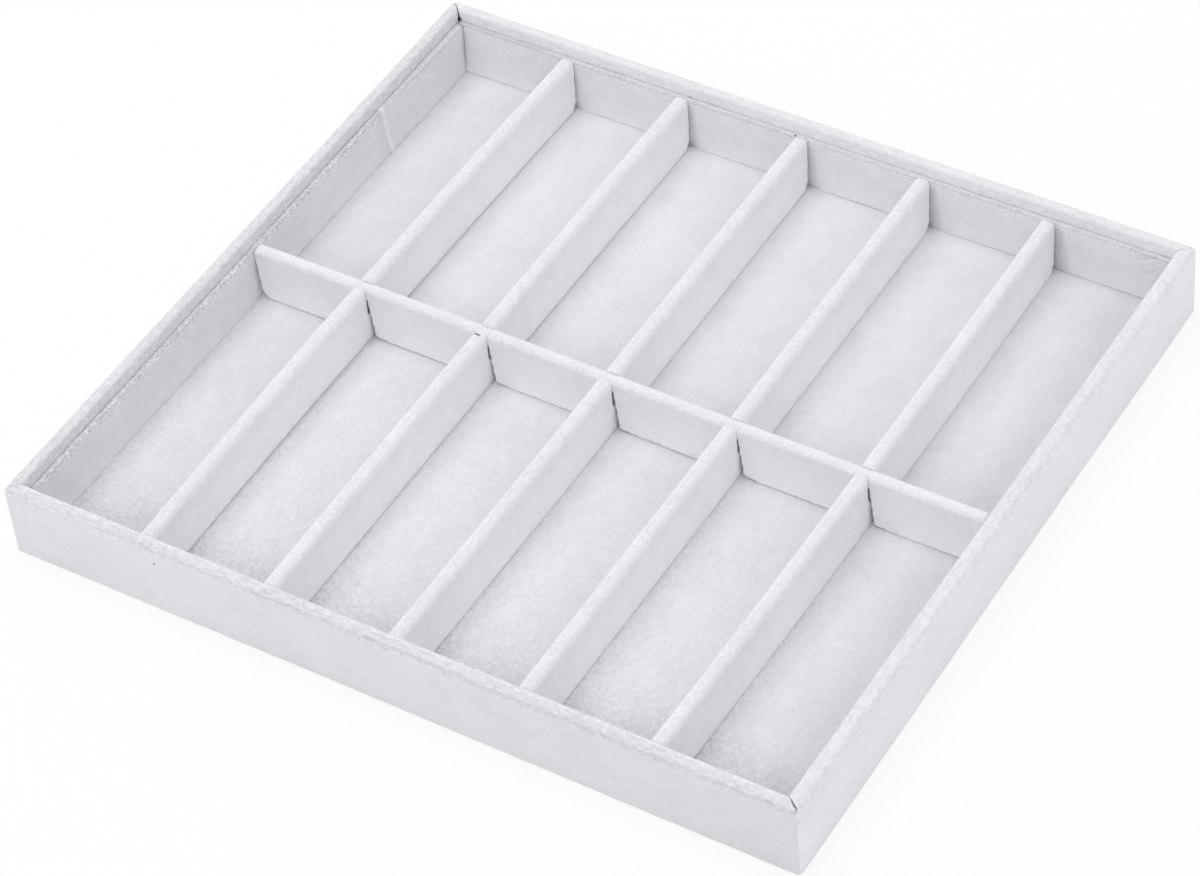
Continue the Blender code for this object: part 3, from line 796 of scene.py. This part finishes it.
class Nodes:
    """A material's node tree, with its nodes made and joined in short calls."""

    def __init__(self, name):
        self.material = bpy.data.materials.new(name)
        self.material.use_nodes = True
        self.tree = self.material.node_tree
        self.shader = self.tree.nodes["Principled BSDF"]

    def add(self, kind, inputs=(), **settings):
        node = self.tree.nodes.new(kind)
        for name, value in settings.items():
            setattr(node, name, value)
        for name, value in dict(inputs).items():
            if isinstance(value, bpy.types.NodeSocket):
                self.tree.links.new(value, node.inputs[name])
            else:
                node.inputs[name].default_value = value
        return node

    def noise(self, place, size, detail=3, roughness=0.5, distortion=0):
        inputs = {"Vector": place, "Scale": 1 / size, "Detail": detail, "Roughness": roughness}
        return self.add("ShaderNodeTexNoise", {**inputs, "Distortion": distortion}).outputs["Fac"]

    def spread(self, value, low, high, to_low, to_high):
        inputs = {"Value": value, "From Min": low, "From Max": high, "To Min": to_low, "To Max": to_high}
        return self.add("ShaderNodeMapRange", inputs).outputs["Result"]

    def maths(self, operation, first, second):
        node = self.add("ShaderNodeMath", operation=operation)
        for socket, value in zip(node.inputs, (first, second)):
            if isinstance(value, bpy.types.NodeSocket):
                self.tree.links.new(value, socket)
            else:
                socket.default_value = value
        return node.outputs[0]

    def mix(self, share, first, second):
        node = self.add("ShaderNodeMix", data_type="RGBA")
        for name, value in (("Factor", share), ("A", first), ("B", second)):
            sockets = [s for s in node.inputs if s.name == name and s.enabled]
            if isinstance(value, bpy.types.NodeSocket):
                self.tree.links.new(value, sockets[0])
            else:
                sockets[0].default_value = value
        return [s for s in node.outputs if s.enabled][0]

    def finish(self, colour, roughness, height, distance):
        bump = self.add("ShaderNodeBump", {"Height": height, "Distance": distance, "Strength": 1.0})
        for name, value in (("Base Color", colour), ("Roughness", roughness)):
            self.tree.links.new(value, self.shader.inputs[name])
        self.tree.links.new(bump.outputs["Normal"], self.shader.inputs["Normal"])
        return self.material


def fold_shade_strokes(nodes, place):
    """Painted shade in short strokes along a rim's slack fold, in two broken lines: how far each point lies in them."""
    fold = nodes.add("ShaderNodeAttribute", attribute_name="fold").outputs["Fac"]
    strokes = []
    for offset, wander, width, gate_size, gate in ((0.0, 0.0009, 0.00100, 0.0090, 0.28), (0.0012, 0.0022, 0.00050, 0.0045, 0.46)):
        moved = nodes.add("ShaderNodeVectorMath", {0: place, 1: (offset * 90, 0, 0)}, operation="ADD").outputs[0]
        sway = nodes.spread(nodes.noise(moved, 0.0042, 3, 0.65), 0, 1, -wander / 2, wander / 2)
        away = nodes.maths("ABSOLUTE", nodes.maths("ADD", nodes.maths("ADD", fold, offset), sway), 0)
        stroke = nodes.spread(away, width, 0, 0, 1)
        open_here = nodes.spread(nodes.noise(moved, gate_size, 2, 0.5), gate, gate + 0.14, 0, 1)
        strokes.append(nodes.maths("MULTIPLY", stroke, open_here))
    fold_shade_reach = nodes.add("ShaderNodeAttribute", attribute_name="fold_shade_reach").outputs["Fac"]
    return nodes.maths("MULTIPLY", nodes.maths("MAXIMUM", *strokes), fold_shade_reach)


def velvet(name, colour, seed, grain=(1, 1, 1), specks=(), fold_shaded=False):
    """Short-pile velvet: mottled tufts, streaks where the pile lies over, and a soft sheen."""
    nodes = Nodes(name)
    place = nodes.add("ShaderNodeTexCoord").outputs["Object"]
    moved = nodes.add("ShaderNodeVectorMath", {0: place, 1: (seed, seed / 2, seed / 3)}, operation="ADD").outputs[0]
    stretched = nodes.add("ShaderNodeVectorMath", {0: moved, 1: grain}, operation="MULTIPLY").outputs[0]
    tufts = nodes.noise(stretched, 0.0013, 4, 0.62)
    fibres = nodes.noise(stretched, 0.00048, 2, 0.6)
    lie = nodes.noise(stretched, 0.0075, 4, 0.55, 0.6)
    swirl = nodes.noise(moved, 0.0400, 2, 0.5, 0.3)
    names = ("nap", "brushed", "painted_hollow_shade", "frayed")
    looks = {key: nodes.add("ShaderNodeAttribute", attribute_name=key).outputs["Fac"] for key in names}

    fine = nodes.maths("ADD", nodes.spread(tufts, 0.3, 0.7, -0.045, 0.045), nodes.spread(fibres, 0.3, 0.7, -0.030, 0.030))
    roughness = nodes.maths("ADD", nodes.maths("MULTIPLY", looks["brushed"], 1.25), 0.6)
    fine = nodes.maths("MULTIPLY", fine, roughness)
    broad = nodes.maths("ADD", nodes.spread(lie, 0.3, 0.7, -0.028, 0.028), nodes.spread(swirl, 0.3, 0.7, -0.018, 0.018))
    tone = nodes.maths("ADD", nodes.maths("ADD", fine, broad), 1.0)
    # Painted light and shade from the attributes, and painted shade in hollows
    tone = nodes.maths("MULTIPLY", tone, nodes.maths("ADD", looks["nap"], 1.0))
    tone = nodes.maths("MULTIPLY", tone, nodes.spread(looks["painted_hollow_shade"], 0, 1, 1.0, 0.55))
    stray = nodes.maths("MULTIPLY", nodes.spread(tufts, 0.50, 0.62, 0, 0.30), looks["frayed"])
    tone = nodes.maths("ADD", tone, stray)
    # Painted shade in short strokes along the rims' fold
    fold_shade = fold_shade_strokes(nodes, moved) if fold_shaded else None
    if fold_shade:
        tone = nodes.maths("MULTIPLY", tone, nodes.spread(fold_shade, 0, 1, 1.0, 0.86))
    mixed = nodes.add("ShaderNodeVectorMath", {0: colour, "Scale": tone}, operation="SCALE").outputs[0]
    for point, radius, shade in specks:
        away = nodes.add("ShaderNodeVectorMath", {0: place, 1: point}, operation="DISTANCE").outputs["Value"]
        mixed = nodes.mix(nodes.spread(away, radius, radius * 0.4, 0.0, 1.0), mixed, (shade, shade, shade, 1))
    rough = nodes.spread(tufts, 0.3, 0.7, 0.98, 0.86)
    height = nodes.maths("ADD", nodes.maths("MULTIPLY", tufts, 0.6), nodes.maths("MULTIPLY", fibres, 0.4))
    if fold_shade:
        height = nodes.maths("SUBTRACT", height, nodes.maths("MULTIPLY", fold_shade, 0.25))
    nodes.shader.inputs["Sheen Weight"].default_value = 0.25
    nodes.shader.inputs["Sheen Roughness"].default_value = 0.45
    nodes.shader.inputs["Specular IOR Level"].default_value = 0.10
    return nodes.finish(mixed, rough, height, 0.00035)


def fibreboard_material():
    """Raw fibreboard: pressed brown fibres with darker flecks."""
    nodes = Nodes("raw_fibreboard")
    place = nodes.add("ShaderNodeTexCoord").outputs["Object"]
    fibres = nodes.noise(place, 0.0009, 6, 0.7)
    flecks = nodes.noise(place, 0.0030, 5, 0.75, 1.2)
    colour = nodes.mix(nodes.spread(fibres, 0.3, 0.7, 0, 1), (0.26, 0.21, 0.16, 1), (0.40, 0.33, 0.26, 1))
    colour = nodes.mix(nodes.spread(flecks, 0.58, 0.70, 0, 0.6), colour, (0.18, 0.13, 0.09, 1))
    nodes.shader.inputs["Specular IOR Level"].default_value = 0.25
    return nodes.finish(colour, nodes.spread(fibres, 0.3, 0.7, 0.9, 0.7), fibres, 0.0001)


def grey_card_material():
    """Grey board: recycled paper pulp with pale and dark fibres."""
    nodes = Nodes("grey_board")
    place = nodes.add("ShaderNodeTexCoord").outputs["Object"]
    pulp = nodes.noise(place, 0.0022, 6, 0.7)
    flecks = nodes.noise(place, 0.0007, 3, 0.8, 2.0)
    colour = nodes.mix(nodes.spread(pulp, 0.3, 0.7, 0, 1), (0.38, 0.37, 0.35, 1), (0.50, 0.49, 0.46, 1))
    colour = nodes.mix(nodes.spread(flecks, 0.62, 0.72, 0, 0.5), colour, (0.70, 0.68, 0.63, 1))
    nodes.shader.inputs["Specular IOR Level"].default_value = 0.25
    return nodes.finish(colour, nodes.spread(pulp, 0.3, 0.7, 0.92, 0.78), pulp, 0.00008)


def build_studio():
    """A pale floor, an even white surround and one broad soft lamp overhead."""
    bpy.ops.mesh.primitive_plane_add(size=8, location=(0, 0, -0.0002))
    floor = bpy.context.object
    floor.name = "studio_floor"
    material = bpy.data.materials.new("studio_floor")
    material.use_nodes = True
    tree = material.node_tree
    shader = tree.nodes["Principled BSDF"]
    shader.inputs["Roughness"].default_value = 1
    shader.inputs["Specular IOR Level"].default_value = 0
    rays = tree.nodes.new("ShaderNodeLightPath")
    colour = tree.nodes.new("ShaderNodeMix")
    colour.data_type = "RGBA"
    tree.links.new(rays.outputs["Is Camera Ray"], colour.inputs["Factor"])
    colour.inputs["A"].default_value = (FLOOR_BOUNCE, FLOOR_BOUNCE, FLOOR_BOUNCE, 1)
    colour.inputs["B"].default_value = (1, 1, 1, 1)
    colours = [s for s in colour.inputs if s.type == "RGBA"]
    colours[0].default_value = (FLOOR_BOUNCE, FLOOR_BOUNCE, FLOOR_BOUNCE, 1)
    colours[1].default_value = (1, 1, 1, 1)
    tree.links.new([s for s in colour.outputs if s.type == "RGBA"][0], shader.inputs["Base Color"])
    glow = tree.nodes.new("ShaderNodeEmission")
    mix = tree.nodes.new("ShaderNodeMixShader")
    seen = tree.nodes.new("ShaderNodeMath")
    seen.operation = "MULTIPLY"
    tree.links.new(rays.outputs["Is Camera Ray"], seen.inputs[0])
    seen.inputs[1].default_value = FLOOR_GLOW
    tree.links.new(seen.outputs[0], mix.inputs["Fac"])
    tree.links.new(shader.outputs["BSDF"], mix.inputs[1])
    tree.links.new(glow.outputs["Emission"], mix.inputs[2])
    tree.links.new(mix.outputs["Shader"], tree.nodes["Material Output"].inputs["Surface"])
    floor.data.materials.append(material)

    world = bpy.data.worlds.new("studio")
    bpy.context.scene.world = world
    world.use_nodes = True
    tree = world.node_tree
    surround = tree.nodes["Background"]
    surround.inputs["Color"].default_value = (*SURROUND_COLOUR, 1)
    surround.inputs["Strength"].default_value = SURROUND_STRENGTH
    white = tree.nodes.new("ShaderNodeBackground")
    white.inputs["Color"].default_value = (1, 1, 1, 1)
    rays = tree.nodes.new("ShaderNodeLightPath")
    mix = tree.nodes.new("ShaderNodeMixShader")
    tree.links.new(rays.outputs["Is Camera Ray"], mix.inputs["Fac"])
    tree.links.new(surround.outputs["Background"], mix.inputs[1])
    tree.links.new(white.outputs["Background"], mix.inputs[2])
    tree.links.new(mix.outputs["Shader"], tree.nodes["World Output"].inputs["Surface"])

    lamp = bpy.data.lights.new("overhead", "AREA")
    lamp.shape = "RECTANGLE"
    lamp.size, lamp.size_y = LAMP_SIZE
    lamp.energy = LAMP_POWER
    lamp.color = LAMP_COLOUR
    overhead = bpy.data.objects.new("overhead", lamp)
    overhead.location = LAMP_PLACE
    overhead.rotation_euler = (-Vector(LAMP_PLACE)).to_track_quat("-Z", "Y").to_euler()
    bpy.context.scene.collection.objects.link(overhead)


def build_camera():
    """The camera at the photograph's viewing angle: above the front right corner, rolled slightly."""
    azimuth, elevation, roll = (math.radians(angle) for angle in CAMERA_ANGLES)
    back = Vector((math.sin(azimuth) * math.cos(elevation), -math.cos(azimuth) * math.cos(elevation), math.sin(elevation)))
    right = Vector((math.cos(azimuth), math.sin(azimuth), 0))
    up = back.cross(right)
    tilted_right = math.cos(roll) * right + math.sin(roll) * up
    tilted_up = math.cos(roll) * up - math.sin(roll) * right
    lens = bpy.data.cameras.new("camera")
    lens.sensor_width = SENSOR_WIDTH
    lens.lens = LENS
    camera = bpy.data.objects.new("camera", lens)
    matrix = Matrix((tilted_right, tilted_up, back)).transposed().to_4x4()
    matrix.translation = Vector(CAMERA_TARGET) + back * CAMERA_DISTANCE
    camera.matrix_world = matrix
    bpy.context.scene.collection.objects.link(camera)
    bpy.context.scene.camera = camera


# Camera: azimuth, elevation and roll in degrees, and millimetres for the lens and its sensor
CAMERA_ANGLES = (35.0971, 45.1235, -5.8671)
CAMERA_TARGET = (-0.00225, -0.00819, 0)
CAMERA_DISTANCE = 1.8593
SENSOR_WIDTH = 36
LENS = 128.26

# Studio light
FLOOR_BOUNCE = 0.92
FLOOR_GLOW = 0.80
SURROUND_COLOUR = (0.97, 0.98, 1.0)
SURROUND_STRENGTH = 0.83
LAMP_SIZE = (1.4, 1.4)
LAMP_PLACE = (-0.72, 0.10, 2.6)
LAMP_POWER = 12.5
LAMP_COLOUR = (1.0, 1.0, 1.0)

# Velvet colours
PALE = (0.875, 0.878, 0.893)

# Small marks: place, radius and how dark
WALL_SPECKS = (
    ((-0.0597, 0.1737, 0.0322), 0.0012, 0.25),
    ((-0.1145, -0.1800, 0.0292), 0.00085, 0.33),
    ((-0.0420, -0.1795, 0.0368), 0.0005, 0.45),
)
LINER_SPECKS = (
    ((-0.0594, 0.1733, 0.0325), 0.0011, 0.25),
    ((-0.0035, 0.1714, 0.0326), 0.0009, 0.20),
)
DIVIDER_SPECKS = (
    ((0.1294, -0.1449, 0.0191), 0.0009, 0.25),
    # The next five paint a dark slit at the second crossing's mouth: painted shade of a gap
    ((-0.0651, -0.0049, 0.0331), 0.0007, 0.30),
    ((-0.0645, -0.0050, 0.0333), 0.0007, 0.18),
    ((-0.0638, -0.0051, 0.0334), 0.0007, 0.16),
    ((-0.0631, -0.0052, 0.0334), 0.0007, 0.18),
    ((-0.0624, -0.0053, 0.0334), 0.0006, 0.30),
)

wall_velvet_along_x = velvet("wall_velvet_along_x", PALE, 0.11, (0.45, 1, 1), WALL_SPECKS, True)
wall_velvet_along_y = velvet("wall_velvet_along_y", PALE, 0.17, (1, 0.45, 1), (), True)
liner_velvet = velvet("liner_velvet", PALE, 0.23, specks=LINER_SPECKS)
floor_velvet = velvet("floor_velvet", PALE, 0.37, (1, 0.6, 1))
divider_velvet = velvet("divider_velvet", PALE, 0.51, specks=DIVIDER_SPECKS)
fibreboard = fibreboard_material()
grey_card = grey_card_material()

cross_places = [(low.x + high.x) / 2 for low, high in CROSS]
cross_thick = (CROSS[0][1].x - CROSS[0][0].x) / 2
for corner, (side, degrees) in enumerate(SIDES):
    build_wall(side, degrees, corner)
    build_liner(side, degrees)

floor_mesh = flat_sheet("floor_pile", FLOOR, FLOOR_STEP, 71, 1)
new_piece("floor_pile", floor_mesh, "tray", "floor_velvet", floor_velvet, "floor_velvet")
cover_mesh = flat_sheet("underside_pile", COVER, COVER_STEP, 73, -1)
new_piece("underside_pile", cover_mesh, "tray", "underside_velvet", floor_velvet, "underside_cover")

level = (LONG[0].z + LONG[1].z) / 2
long_bend = np.polyfit(np.array(LONG_BEND_AT) / 1000, np.array(LONG_BEND) / 1000, 3)
cross_bends = [np.polyfit(np.array(CROSS_BEND_AT) / 1000, np.array(bend_mm) / 1000, 3) for bend_mm in CROSS_BENDS]
slots = [place + np.polyval(bent, 0) for place, bent in zip(cross_places, cross_bends)]
build_divider(("long", ""), Divider(
    half=LONG[1].x, thick=LONG[1].y, foot=LONG[0].z, top=LONG[1].z, slots=tuple(slots),
    slot_half=cross_thick + SLOT_CLEARANCE, slot_level=level + GLUE_LINE, from_above=False,
    along_x=True, place=0, bend=long_bend), 83)
for number, (box, place, bent) in enumerate(zip(CROSS, cross_places, cross_bends), start=1):
    build_divider(("cross", f"_{number}"), Divider(
        half=box[1].y, thick=cross_thick, foot=box[0].z - 0.00015, top=box[1].z, slots=(np.polyval(long_bend, place),),
        slot_half=LONG[1].y + SLOT_CLEARANCE, slot_level=level, from_above=True,
        along_x=False, place=place, bend=bent), 89 + number)

for name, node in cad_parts.items():
    if not node.hide_render:
        node.data.materials.clear()
        node.data.materials.append(fibreboard if name.endswith("wall_board") or name == "base_board" else grey_card)

build_camera()
build_studio()
bpy.context.scene.view_settings.view_transform = "Standard"
